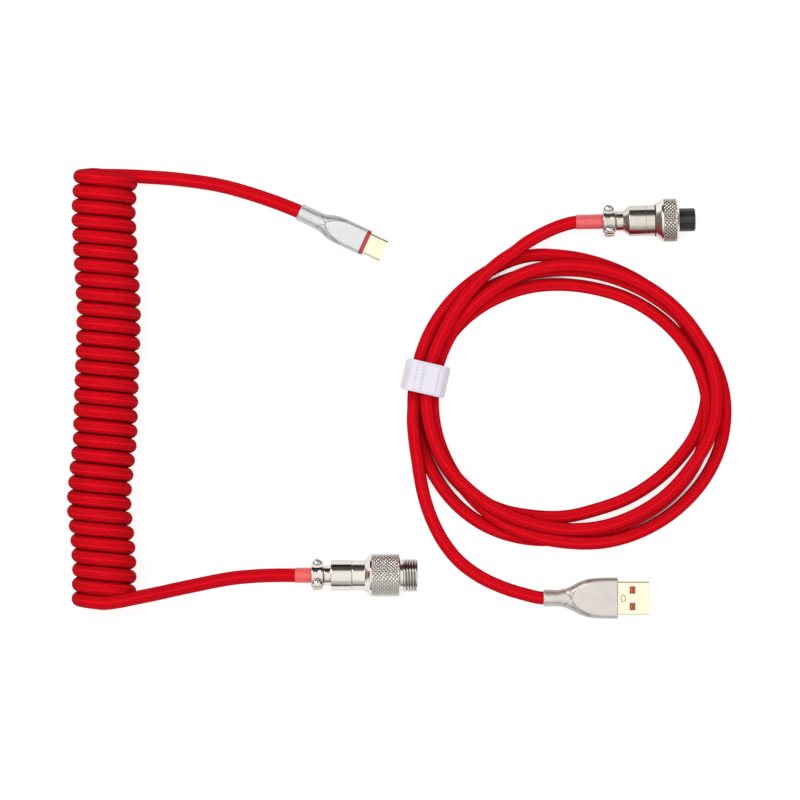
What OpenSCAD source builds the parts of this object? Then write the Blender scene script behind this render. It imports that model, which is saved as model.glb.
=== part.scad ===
// Coiled keyboard cable set, lying flat: a coiled cord with a small reversible connector and a
// threaded socket, and a looped cord with a flat connector and a plug with a coupling nut.
// Millimetres. +Z is up, the set lies on z = 0, and the origin is under the middle of the set.

/* [Cords] */
// Diameter of the coiled cord over its braid
coiled_cord_d = 5.1; // [4.9:0.1:5.2]
// Outer diameter of the coil
coil_od = 23.5; // [22:0.1:24]
// Diameter of the looped cord over its braid
looped_cord_d = 4.8; // [4.5:0.1:4.9]
// Height of the bundle of loops
ring_h = 14.4; // [12:0.1:15]

/* [Threaded connectors] */
// Outside diameter of the socket's thread
thread_d = 12; // [11.6:0.1:12]
// Length of the socket's thread
thread_l = 5.2; // [4:0.1:6]
// Diameter over the socket's knurled sleeve
sleeve_d = 15.2; // [14:0.1:15.4]
// Diameter over the plug's coupling nut
nut_d = 15.4; // [15:0.1:15.6]
// Diameter of the plug's insert
insert_d = 8.4; // [8:0.1:8.5]
// Number of contacts in the plug and in the socket
pin_count = 5; // [3:1:6]

/* [Flat connector] */
// Width of the shell
a_shell_w = 12; // [11.8:0.1:12.2]
// Height of the shell
a_shell_h = 4.5; // [4.4:0.1:4.6]
// Width of the grip
a_boot_w = 14.8; // [14.4:0.1:15.2]
// Height of the grip
a_boot_h = 8; // [7.6:0.1:8.4]

/* [Reversible connector] */
// Width of the shell
c_shell_w = 8.25; // [8.1:0.05:8.4]
// Height of the shell
c_shell_h = 2.4; // [2.3:0.05:2.5]
// Width of the grip
c_boot_w = 9.6; // [9.4:0.1:10]
// Height of the grip
c_boot_h = 6.2; // [6:0.1:6.6]

/* [Tie] */
// Width of the tie along the cords
strap_w = 11.2; // [8:0.1:12]
// Thickness of the tie
strap_t = 1; // [0.8:0.1:1.2]

/* [Hidden] */

$fn = 64;
eps = 0.02;            // running-over of a cut
seat = 0.02;           // radial room of a fixed fit
run_fit = 0.08;        // radial room of a running fit

nickel = "silver";
satin = "lightgrey";
gold = "gold";
braid = "crimson";
plastic = "dimgray";

// ---- places -------------------------------------------------------------------------------

coiled_r = coiled_cord_d / 2;
looped_r = looped_cord_d / 2;
wind_r = coil_od / 2 - coiled_r;             // radius of the winding's centre line
coil_axis_z = coil_od / 2;
// The coil's axis runs along -Y and wanders a little: [x, y] along it, end faces included.
coil_axis = [
  [-106.7, 81], [-107.4, 64], [-106.6, 46], [-105.5, 31], [-105.7, 17], [-106.5, 0],
  [-106.9, -17], [-108.3, -29], [-109, -40], [-107.9, -53], [-107.2, -63], [-107.2, -70.3]
];
last_turn_y = -74.4;                         // the last turn's left end
turn_pitch = 5.275;

usb_c_at = [-36.7, 66, c_boot_h / 2];
usb_c_turn = -25;
socket_at = [-32.7, -66.2, 7.6];
usb_a_at = [52.1, -74.6, a_boot_h / 2];
plug_at = [73.24, 62.24, 7.7];
plug_turn = 1.2;
ring_at = [60.4, -2.5, 0];
ring_squash = 0.94;                          // the ring's height in Y over its width in X
strap_at = [9.2, 5.4, 0];
strap_turn = -13;

// Routes of the free stretches of cord, [x, y, z] along the centre line.
usb_c_route = [
  [-99, 79.3, 2.6], [-90, 79, 2.6], [-83, 78.4, 2.6], [-76, 77.5, 2.6], [-69, 76.3, 2.6],
  [-62, 74.7, 2.6], [-55, 72.7, 2.7], [-48, 70.4, 2.9], [-41, 67.8, 3.1], [-36.7, 66, 3.1],
  [-34, 64.7, 3.1]
];
socket_route = [
  [-101.5, -75.2, 20.3], [-95.3, -74, 18.6], [-88, -72.6, 15.7], [-80.5, -71, 12.5],
  [-73, -69.5, 10], [-66.5, -68.2, 8.4], [-59.5, -67.1, 7.5], [-52.5, -66.5, 7.3],
  [-45, -66.2, 7.4], [-38, -66.2, 7.6], [-32.7, -66.2, 7.6], [-24.7, -66.2, 7.6]
];
usb_a_route = [
  [5.2, -15, 6.7], [5.7, -20, 5.8], [7, -29, 4.2], [9, -38.5, 2.8], [12.1, -47.2, 2.5],
  [16.1, -54.6, 2.5], [21.4, -61.1, 2.5], [28.5, -66.5, 2.6], [37, -70.6, 3], [44.5, -73, 3.6],
  [52.1, -74.6, 4], [55, -74.6, 4]
];
plug_route = [
  [33, 44, 7.3], [37.6, 47.8, 7.2], [43.5, 52.6, 6.2], [50.5, 57.2, 5.6], [57.5, 60.8, 6.5],
  [63.94, 62.05, 7.7], [73.24, 62.24, 7.7], [81.24, 62.4, 7.7]
];
// The ring of loops seen from above: outside and inside radius every 30 degrees, clockwise
// from the tie.
ring_outer = [57.9, 59.8, 60, 58, 55.5, 55.8, 59.6, 61.1, 60.6, 57.4, 59.4, 58.5];
ring_inner = [46.1, 46.1, 44.2, 42, 42.6, 45.5, 48.9, 44.6, 41.8, 42.6, 46.5, 46.8];

// ---- general shapes -----------------------------------------------------------------------

// Extrudes a flat shape along +X: its x becomes Y and its y becomes Z.
module along_x(l) rotate([90, 0, 90]) linear_extrude(l) children();

// Round rod along +X from x0 to x1, with an optional bore.
module rod_x(x0, x1, r, bore = 0) {
  translate([x0, 0, 0]) rotate([0, 90, 0]) difference() {
    cylinder(h = x1 - x0, r = r);
    if (bore > 0) translate([0, 0, -eps]) cylinder(h = x1 - x0 + 2 * eps, r = bore);
  }
}

// Solid of revolution about X, from a list of [x, radius].
module turned(profile) {
  rotate([0, 90, 0]) rotate_extrude()
    polygon(concat([[0, profile[0][0]]], [for (p = profile) [p[1], p[0]]],
                   [[0, profile[len(profile) - 1][0]]]));
}

// Rounded rectangle, made of squares and circles so that its corners stay true arcs.
module round_rect(w, h, r) {
  square([w - 2 * r, h], center = true);
  square([w, h - 2 * r], center = true);
  for (sx = [-1, 1], sy = [-1, 1])
    translate([sx * (w / 2 - r), sy * (h / 2 - r)]) circle(r);
}

// Flat bar with rounded edges along +X.
module bar_x(x0, x1, w, h, r) translate([x0, 0, 0]) along_x(x1 - x0) round_rect(w, h, r);

// Straight round rod between two points.
module rod(p, q, r) {
  d = q - p;
  translate(p) rotate([0, acos(d[2] / norm(d)), atan2(d[1], d[0])]) cylinder(h = norm(d), r = r);
}

// Fairs a grip from [x, width, height, corner radius] sections.
module lofted(sections) {
  for (i = [0 : len(sections) - 2]) hull()
    for (s = [sections[i], sections[i + 1]])
      translate([s[0], 0, 0]) along_x(0.05) round_rect(s[1], s[2], s[3], $fn = 32);
}

function unit(v) = v / norm(v);

// Direction of a route at point i.
function heading(p, i) = unit(p[min(i + 1, len(p) - 1)] - p[max(i - 1, 0)]);

// Ring of points round a route at point i; ref is a direction that the route never takes.
function ring_points(p, i, r, n, ref) =
  let (d = heading(p, i), side = unit(cross(d, ref)), up = cross(side, d))
  [for (k = [0 : n - 1]) p[i] + r * (cos(360 * k / n) * side + sin(360 * k / n) * up)];

// Tube along a route.
module tube(p, r, n = 10, ref = [0, 0, 1]) {
  last = len(p) - 1;
  sides = [for (i = [0 : last - 1], k = [0 : n - 1])
    let (a = i * n + k, b = i * n + (k + 1) % n) [[b, a, a + n], [b, a + n, b + n]]];
  polyhedron(
    points = [for (i = [0 : last]) each ring_points(p, i, r, n, ref)],
    faces = concat([[for (k = [0 : n - 1]) k]], [for (s = sides) each s],
                   [[for (k = [n - 1 : -1 : 0]) last * n + k]]));
}

// ---- coiled cord --------------------------------------------------------------------------

module usb_c_lead() color(braid) tube(usb_c_route, coiled_r);

module coil() color(braid)
  tube([for (p = coil_axis) [p[0], p[1], coil_axis_z]], coil_od / 2, 12);

// The last three quarters of a turn leave the underside of the coil and pass over its top.
function last_turn(a) = [
  coil_axis[11][0] - wind_r * cos(a),
  last_turn_y - turn_pitch * a / 360,
  coil_axis_z + wind_r * sin(a)
];

module socket_lead() color(braid)
  tube(concat([for (a = [-90 : 30 : 90]) last_turn(a)], socket_route), coiled_r, 10, [0, 1, 0]);

// ---- reversible connector: x runs from the rear of the grip towards the tip -----------------

c_boot_l = 25.9;
c_collar_t = 1.3;
c_shell_l = 6.8;                             // shell that shows past the collar
c_tip = c_boot_l + c_collar_t + c_shell_l;
c_wall = 0.25;
c_pocket_w = 5.2;
c_pocket_h = 3;
c_front_w = c_shell_w + 0.2;
c_slot_w = 6.9;
c_slot_h = 0.9;
c_contact_count = 12;
c_contact_pitch = 0.5;

module at_usb_c() translate(usb_c_at) rotate([0, 0, usb_c_turn]) children();

module usb_c_boot() color(satin) at_usb_c() difference() {
  lofted([[0, 6.3, 5.9, 2.9], [8, 6.3, 5.7, 2.8], [10.7, 7.2, 5.7, 2.6], [12.5, 8.6, 5.8, 2.4],
          [14.5, 9.4, 5.9, 2.1], [20, c_boot_w, c_boot_h, 1.8], [c_boot_l - 0.05, c_boot_w, c_boot_h, 1.6]]);
  rod_x(-1, 12, coiled_r + seat);
  bar_x(10.5, 19, c_pocket_w, c_pocket_h, 0.3);
  bar_x(18.5, c_boot_l + 1, c_front_w, c_pocket_h, 1.2);
}

module usb_c_inner_mould() color("white") at_usb_c() difference() {
  bar_x(5.5, 11.5, 3.2, 2.8, 0.6);
  translate([5, -1.7, -0.45]) cube([8, 3.4, 0.9]);
}

module usb_c_board() color("darkgreen") at_usb_c() {
  translate([11.6, -2.4, -0.4]) cube([9.2, 4.8, 0.8]);
  translate([14, -1, 0.4]) cube([1.6, 2, 0.7]);
}

module usb_c_wires() color("saddlebrown") at_usb_c()
  for (y = [-1.2 : 0.8 : 1.2]) rod([3.1, y * 0.8, 0], [11.6, y, 0], 0.3, $fn = 16);

module usb_c_collar() color("firebrick") at_usb_c() difference() {
  bar_x(c_boot_l, c_boot_l + c_collar_t, c_boot_w, 5, 2);
  bar_x(c_boot_l - 1, c_boot_l + c_collar_t + 1, c_shell_w + seat, c_shell_h + seat, 1.15);
}

module usb_c_shell() color(gold) at_usb_c() difference() {
  bar_x(21, c_tip, c_shell_w, c_shell_h, 1.15);
  bar_x(20, c_tip + 1, c_shell_w - 2 * c_wall, c_shell_h - 2 * c_wall, 0.9);
}

module usb_c_insert() color(plastic) at_usb_c() difference() {
  bar_x(21, c_tip - 0.4, c_shell_w - 2 * c_wall - seat, c_shell_h - 2 * c_wall - seat, 0.92);
  bar_x(26.5, c_tip + 1, c_slot_w, c_slot_h, 0.3);
}

module usb_c_contacts() color(gold) at_usb_c()
  for (i = [0 : c_contact_count - 1], side = [-1, 1])
    translate([27, (i - (c_contact_count - 1) / 2) * c_contact_pitch - 0.1,
               side * (c_slot_h / 2 - 0.06) - 0.05])
      cube([5.5, 0.2, 0.1]);

// ---- threaded connectors: x runs from the rear of the cord clamp towards the mating end -------

clamp_l = 5.4;
clamp_r = 4.2;
clamp_bore = 2.85;
clamp_gap = 0.3;                             // half of the gap between the two saddles
ear_t = 1.5;
ear_at = 4;                                  // a screw's distance from the axis
screw_r = 0.8;
screw_head_r = 1.35;
screw_head_h = 1;
shrink_r = 2.8;
pin_r = 0.5;
pin_circle = 2.5;

module at_socket() translate(socket_at) children();
module at_plug() translate(plug_at) rotate([0, 0, plug_turn]) children();

// Half of the clamp round the cord: side 1 is the loose saddle, side -1 the backshell's own.
module saddle(side) difference() {
  union() {
    rod_x(0.3, side > 0 ? clamp_l - 0.3 : clamp_l, clamp_r);
    translate([0.9, -ear_at - 1.4, -ear_t - clamp_gap])
      cube([clamp_l - 1.8, 2 * ear_at + 2.8, 2 * (ear_t + clamp_gap)]);
  }
  rod_x(-1, clamp_l + 1, clamp_bore);
  translate([-1, -8, side > 0 ? -8 + clamp_gap : -clamp_gap]) cube([clamp_l + 2, 16, 8]);
  for (y = [-ear_at, ear_at]) translate([clamp_l / 2, y, 0]) {
    translate([0, 0, -6]) cylinder(h = 12, r = screw_r + seat);
    translate([0, 0, ear_t + clamp_gap]) cylinder(h = 6, r = screw_head_r + 2 * seat);
  }
}

module clamp_screws() for (y = [-ear_at, ear_at])
  translate([clamp_l / 2, y, 0]) difference() {
    union() {
      translate([0, 0, -ear_t - clamp_gap])
        cylinder(h = 2 * (ear_t + clamp_gap), r = screw_r);
      translate([0, 0, ear_t + clamp_gap]) cylinder(h = screw_head_h, r = screw_head_r);
    }
    translate([-0.2, -2, ear_t + clamp_gap + screw_head_h / 2]) cube([0.4, 4, 2]);
  }

module wires(x0, r0, x1, r1) for (i = [0 : pin_count - 1])
  rotate([i * 360 / pin_count, 0, 0]) rod([x0, 0, r0], [x1, 0, r1], 0.4, $fn = 24);

// -- socket, on the coiled cord

socket_tilt = 38;                            // the clamp is turned about the axis
s_neck_x = 7.6;
s_split = 15.2;                              // joint between the backshell and the body
s_cone_x = 20;
s_sleeve_x = 21.8;
s_groove_x = 32.8;
s_thread_x = 33.9;
s_mouth = s_thread_x + thread_l;
s_cavity_r = 4.45;
s_insulator_x = 24.6;
s_pin_face = s_insulator_x + 4.6;

module socket_heat_shrink() color("lightcoral") at_socket()
  rod_x(-5.4, 6.2, shrink_r, coiled_r + seat);

module socket_backshell() color(nickel) at_socket() {
  rotate([-socket_tilt, 0, 0]) saddle(-1);
  difference() {
    turned([[clamp_l - 0.2, 3.6], [s_neck_x, 3.6], [s_neck_x, 5.6], [s_split, 5.6]]);
    rod_x(0, s_neck_x + 1.2, clamp_bore);
    rod_x(s_neck_x + 0.8, s_split + 1, 4.5);
  }
}

module socket_clamp_saddle() color(nickel) at_socket() rotate([-socket_tilt, 0, 0]) saddle(1);

module socket_clamp_screws() color(nickel) at_socket() rotate([-socket_tilt, 0, 0])
  clamp_screws();

module socket_wires() color("saddlebrown") at_socket() wires(8, 1.2, 22.4, pin_circle);

module socket_body() color(nickel) at_socket() difference() {
  turned([[11.4, 4.48], [s_split, 4.48], [s_split, 5.45], [s_cone_x, 5.45],
          [s_sleeve_x, sleeve_d / 2], [s_groove_x, sleeve_d / 2], [s_groove_x, 5.5],
          [s_thread_x, 5.5], [s_thread_x, thread_d / 2], [s_mouth, thread_d / 2]]);
  rod_x(s_insulator_x, s_mouth + 1, s_cavity_r);
  rod_x(10, s_insulator_x + 1, 3.6);
}

module socket_insulator() color(plastic) at_socket() difference() {
  rod_x(s_insulator_x, s_pin_face, s_cavity_r - seat);
  for (i = [0 : pin_count - 1]) rotate([i * 360 / pin_count, 0, 0])
    translate([0, 0, pin_circle]) rod_x(s_insulator_x - 1, s_pin_face + 1, pin_r + seat);
}

module socket_pins() color(gold) at_socket() for (i = [0 : pin_count - 1])
  rotate([i * 360 / pin_count, 0, 0]) translate([0, 0, pin_circle])
    rod_x(22.4, s_pin_face + 4.3, pin_r);

// -- plug, on the looped cord

plug_tilt = 30;
p_neck_x = 7.6;
p_cone_x = 9.9;
p_split = 16.1;
p_barrel_r = 5.5;
p_shoulder_x = 25.6;
p_shoulder_r = 5.95;
p_nose_x = 27.4;
nut_x = 19.6;
nut_lip_x = 21;
nut_front = 27.9;
nut_bore = p_shoulder_r + 0.1;
slip_t = 1;
insert_x = 19;
insert_tip = 33.9;
contact_r = 0.85;

module plug_heat_shrink() color("lightcoral") at_plug()
  rod_x(-9.3, 6.2, shrink_r - 0.1, looped_r + seat);

module plug_backshell() color(nickel) at_plug() {
  rotate([-plug_tilt, 0, 0]) saddle(-1);
  difference() {
    turned([[clamp_l - 0.2, 3.6], [p_neck_x, 3.6], [p_cone_x, p_barrel_r],
            [p_split, p_barrel_r]]);
    rod_x(0, p_neck_x + 1.2, clamp_bore);
    rod_x(p_neck_x + 0.8, p_split + 1, 3.8);
    rod_x(11.8, p_split + 1, 4.5);
  }
}

module plug_clamp_saddle() color(nickel) at_plug() rotate([-plug_tilt, 0, 0]) saddle(1);

module plug_clamp_screws() color(nickel) at_plug() rotate([-plug_tilt, 0, 0]) clamp_screws();

module plug_wires() color("saddlebrown") at_plug() wires(8, 1.2, 20, pin_circle);

module plug_front_shell() color(nickel) at_plug() difference() {
  turned([[12, 4.48], [p_split, 4.48], [p_split, p_barrel_r], [p_shoulder_x, p_barrel_r],
          [p_shoulder_x, p_shoulder_r], [p_shoulder_x + 1, p_shoulder_r],
          [p_shoulder_x + 1, 5], [p_nose_x, 5]]);
  rod_x(insert_x, p_nose_x + 1, 4.02);
  rod_x(11, insert_x + 1, 3.6);
}

module plug_insert() color("black") at_plug() difference() {
  turned([[insert_x, 4], [28.2, 4], [28.2, insert_d / 2], [insert_tip - 0.4, insert_d / 2],
          [insert_tip, insert_d / 2 - 0.4]]);
  for (a = [20, -20]) rotate([a, 0, 0])
    translate([28.5, -0.35, insert_d / 2 - 0.5]) cube([8, 0.7, 2]);
  for (i = [0 : pin_count - 1]) rotate([i * 360 / pin_count, 0, 0])
    translate([0, 0, pin_circle]) rod_x(insert_x - 1, insert_tip + 1, contact_r + seat);
}

module plug_contacts() color(gold) at_plug() for (i = [0 : pin_count - 1])
  rotate([i * 360 / pin_count, 0, 0]) translate([0, 0, pin_circle]) difference() {
    rod_x(20, insert_tip - 0.5, contact_r);
    rod_x(27, insert_tip, pin_r + 0.03);
  }

module nut_slip_ring() color(nickel) at_plug()
  rod_x(nut_lip_x + 0.1, nut_lip_x + 0.1 + slip_t, nut_bore - run_fit, p_barrel_r + run_fit);

module coupling_nut() color(nickel) at_plug() difference() {
  turned([[nut_x, 5.9], [nut_x + 2, nut_d / 2], [nut_front - 0.8, nut_d / 2],
          [nut_front, nut_d / 2 - 0.7]]);
  rod_x(nut_x - 1, nut_lip_x + 1, p_barrel_r + run_fit);
  rod_x(nut_lip_x, nut_front + 1, nut_bore);
}

// ---- looped cord --------------------------------------------------------------------------

// A value between the entries of a ring table, a in degrees.
function ring_value(t, a) =
  let (n = len(t), s = a / 360 * n, i = floor(s), f = s - i, e = (1 - cos(180 * f)) / 2)
  t[i % n] * (1 - e) + t[(i + 1) % n] * e;

// The outline that a ring table stands for, a degree clockwise from -X as seen from above.
function ring_outline(t) = [for (a = [0 : 6 : 354])
  [-ring_value(t, a) * cos(a), ring_value(t, a) * sin(a) * ring_squash]];

module at_strap() translate(strap_at) rotate([0, 0, strap_turn]) children();

module cable_ring() color(braid) difference() {
  translate(ring_at) linear_extrude(ring_h) difference() {
    polygon(ring_outline(ring_outer));
    polygon(ring_outline(ring_inner));
  }
  at_strap() translate([-12, -strap_w / 2 - 0.2, -1]) cube([24, strap_w + 0.4, 2 + strap_t]);
}

module usb_a_lead() color(braid) tube(usb_a_route, looped_r);

module plug_lead() color(braid) tube(plug_route, looped_r);

strap_out = 16.6;                              // width of the tie's loop across the cords
strap_h = 16.6;
strap_tail_l = 8.6;

module strap_loop() color("white") at_strap() translate([0, strap_w / 2, strap_h / 2])
  rotate([90, 0, 0]) linear_extrude(strap_w) difference() {
    round_rect(strap_out, strap_h, 4);
    round_rect(strap_out - 2 * strap_t, strap_h - 2 * strap_t, 3);
  }

module strap_tail() color("white") at_strap()
  translate([-3.8, -strap_w / 2 + 0.2, strap_h + 0.1])
    cube([strap_tail_l, strap_w - 0.4, 0.8]);

// ---- flat connector: x runs from the rear of the grip towards the tip ------------------------

a_boot_l = 27.1;
a_shell_l = 11.4;                            // shell that shows past the grip
a_tip = a_boot_l + a_shell_l;
a_wall = 0.35;
a_shell_x = 20;
a_tongue_t = 1.9;
a_tongue_w = a_shell_w - 2 * a_wall - seat;
a_window = [2.1, 2.7];
a_window_x = a_boot_l + 5.3;
a_contact_y = [-3.5, -1, 1, 3.5];

module at_usb_a() translate(usb_a_at) children();

module usb_a_boot() color(satin) at_usb_a() difference() {
  lofted([[0, 6.1, 5.9, 2.9], [5.5, 5.9, 5.8, 2.85], [8, 6.9, 5.9, 2.8], [10.4, 8.8, 6.3, 2.6],
          [13, 11.6, 7, 2.4], [16, 13.6, 7.7, 2.2], [20, 14.6, a_boot_h, 1.8],
          [a_boot_l - 0.05, a_boot_w, a_boot_h, 1.6]]);
  rod_x(-1, 6, looped_r + seat);
  rod_x(2, 15, 2.2);
  bar_x(14.5, 17.5, 8.6, 1.6, 0.4);
  bar_x(17, a_boot_l + 1, a_shell_w + seat, a_shell_h + seat, 0.5);
}

module usb_a_inner_mould() color("white") at_usb_a() difference() {
  bar_x(17.2, a_shell_x - 0.1, a_shell_w - 0.4, a_shell_h - 0.4, 0.5);
  bar_x(17, a_shell_x, 8.6, 1.2, 0.2);
}

module usb_a_wires() color("saddlebrown") at_usb_a() for (y = a_contact_y) {
  rod([3, y * 0.35, 0], [15, y * 0.35, 0], 0.4, $fn = 24);
  rod([15, y * 0.35, 0], [18.2, y, 0], 0.4, $fn = 24);
}

module usb_a_shell() color(gold) at_usb_a() difference() {
  bar_x(a_shell_x, a_tip, a_shell_w, a_shell_h, 0.5);
  bar_x(a_shell_x - 1, a_tip + 1, a_shell_w - 2 * a_wall, a_shell_h - 2 * a_wall, 0.2);
  for (y = [-3, 3]) translate([a_window_x - a_window[0] / 2, y - a_window[1] / 2, -5])
    cube([a_window[0], a_window[1], 10]);
}

module usb_a_tongue() color("orangered") at_usb_a() {
  inside_h = a_shell_h - 2 * a_wall - seat;
  bar_x(a_shell_x, a_boot_l + 2, a_tongue_w, inside_h, 0.25);
  translate([a_boot_l + 1.9, -a_tongue_w / 2 + 0.1, inside_h / 2 - a_tongue_t])
    cube([a_tip - a_boot_l - 2.3, a_tongue_w - 0.2, a_tongue_t]);
}

module usb_a_contacts() color(gold) at_usb_a() for (y = a_contact_y) {
  z = (a_shell_h - 2 * a_wall - seat) / 2 - a_tongue_t;
  translate([a_boot_l + 2, y - 0.5, z - 0.15]) cube([7.6, 1, 0.15]);
}

usb_c_lead();
coil();
usb_c_boot();
usb_c_inner_mould();
usb_c_board();
usb_c_wires();
usb_c_collar();
usb_c_shell();
usb_c_insert();
usb_c_contacts();
socket_lead();
socket_heat_shrink();
socket_backshell();
socket_clamp_saddle();
socket_clamp_screws();
socket_wires();
socket_body();
socket_insulator();
socket_pins();
usb_a_lead();
cable_ring();
plug_lead();
strap_loop();
strap_tail();
usb_a_boot();
usb_a_inner_mould();
usb_a_wires();
usb_a_shell();
usb_a_tongue();
usb_a_contacts();
plug_heat_shrink();
plug_backshell();
plug_clamp_saddle();
plug_clamp_screws();
plug_wires();
plug_front_shell();
plug_insert();
plug_contacts();
nut_slip_ring();
coupling_nut();
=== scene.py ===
"""Looks of a red coiled cord and a red looped cord, both braided, with their four metal connectors."""
import math

import bmesh
import bpy
import numpy as np
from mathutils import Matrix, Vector


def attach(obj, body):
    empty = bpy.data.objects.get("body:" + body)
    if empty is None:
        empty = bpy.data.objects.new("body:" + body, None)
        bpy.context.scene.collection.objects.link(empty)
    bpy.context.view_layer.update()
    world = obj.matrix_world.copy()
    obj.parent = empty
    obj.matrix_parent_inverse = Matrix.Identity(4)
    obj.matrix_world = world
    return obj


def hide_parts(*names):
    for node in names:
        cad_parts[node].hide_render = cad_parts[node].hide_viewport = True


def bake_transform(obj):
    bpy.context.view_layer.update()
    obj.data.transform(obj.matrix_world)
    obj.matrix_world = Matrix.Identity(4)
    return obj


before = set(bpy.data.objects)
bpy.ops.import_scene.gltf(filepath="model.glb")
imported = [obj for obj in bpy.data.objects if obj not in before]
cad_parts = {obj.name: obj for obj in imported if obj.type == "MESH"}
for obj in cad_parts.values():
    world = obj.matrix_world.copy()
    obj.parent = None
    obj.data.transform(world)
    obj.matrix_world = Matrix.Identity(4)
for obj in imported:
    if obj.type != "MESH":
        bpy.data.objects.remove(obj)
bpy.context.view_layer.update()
scene = bpy.context.scene
MM = 0.001
TAU = 2 * math.pi


# ---------------------------------------------------------------- camera, floor and light

def link(obj):
    scene.collection.objects.link(obj)
    return obj


def make_camera():
    data = bpy.data.cameras.new("camera")
    data.lens, data.sensor_width = 250, 36
    cam = link(bpy.data.objects.new("camera", data))
    cam.location = (0, -0.00255, 2.025)
    scene.camera = cam


def area_light(name, place, aim, size, power, colour=(1, 1, 1), glossy=True):
    data = bpy.data.lights.new(name, "AREA")
    data.shape, data.size, data.size_y = "RECTANGLE", size[0], size[1]
    data.energy, data.color = power, colour
    lamp = link(bpy.data.objects.new(name, data))
    lamp.location = place
    lamp.rotation_mode = "QUATERNION"
    lamp.rotation_quaternion = Vector([a - b for a, b in zip(place, aim)]).to_track_quat("Z", "Y")
    lamp.visible_glossy, lamp.visible_camera = glossy, False


def make_world():
    """A light tent: bright overhead, darker towards the horizon, with a dark panel behind."""
    world = bpy.data.worlds.new("studio")
    world.use_nodes = True
    nodes, links = world.node_tree.nodes, world.node_tree.links
    coord = nodes.new("ShaderNodeTexCoord")
    split = nodes.new("ShaderNodeSeparateXYZ")
    links.new(coord.outputs["Generated"], split.inputs[0])
    ramps = []
    for axis, stops in (("Z", ((0.0, 0.1), (0.25, 0.12), (0.36, 0.5), (0.7, 0.7), (0.8, 1.05), (1.0, 1.15))),
                        ("Y", ((0.0, 1.0), (0.52, 1.0), (0.64, 0.16), (1.0, 0.1)))):
        ramp = nodes.new("ShaderNodeValToRGB")
        links.new(split.outputs[axis], ramp.inputs[0])
        ramp.color_ramp.elements[1].position = stops[-1][0]
        for position, _ in stops[1:-1]:
            ramp.color_ramp.elements.new(position)
        for element, (_, level) in zip(ramp.color_ramp.elements, stops):
            element.color = (level, level * 0.985, level * 0.965, 1)
        ramps.append(ramp)
    mix = nodes.new("ShaderNodeMix")
    mix.data_type, mix.blend_type = "RGBA", "MULTIPLY"
    mix.inputs["Factor"].default_value = 1
    links.new(ramps[0].outputs[0], mix.inputs["A"])
    links.new(ramps[1].outputs[0], mix.inputs["B"])
    back = nodes["Background"]
    links.new(mix.outputs["Result"], back.inputs["Color"])
    back.inputs["Strength"].default_value = 1.0
    scene.world = world


make_camera()
make_world()
area_light("overhead", (0.0, 0.1, 1.35), (0, 0, 0), (0.7, 0.7), 5.5, glossy=False)
area_light("key", (-0.65, 0.6, 0.8), (0, 0, 0), (0.4, 0.3), 4, (1, 0.985, 0.96))
area_light("fill", (0.85, -0.5, 0.7), (0, 0, 0), (0.5, 0.3), 1.5, (0.97, 0.98, 1), glossy=False)
scene.view_settings.view_transform = "Standard"


# ---------------------------------------------------------------- materials

def darken(m, value, low, full=1.0):
    """Multiplies the base colour by low where value is 0, up to 1 where it reaches full."""
    nodes, links = m.node_tree.nodes, m.node_tree.links
    colour = nodes["Principled BSDF"].inputs["Base Color"]
    body = colour.links[0].from_socket
    span, mix = nodes.new("ShaderNodeMapRange"), nodes.new("ShaderNodeMix")
    span.inputs["From Max"].default_value = full
    span.inputs["To Min"].default_value, span.inputs["To Max"].default_value = low, 1.0
    links.new(value, span.inputs["Value"])
    mix.data_type, mix.blend_type = "RGBA", "MULTIPLY"
    mix.inputs["Factor"].default_value = 1
    links.new(body, mix.inputs["A"])
    links.new(span.outputs[0], mix.inputs["B"])
    links.new(mix.outputs["Result"], colour)


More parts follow.
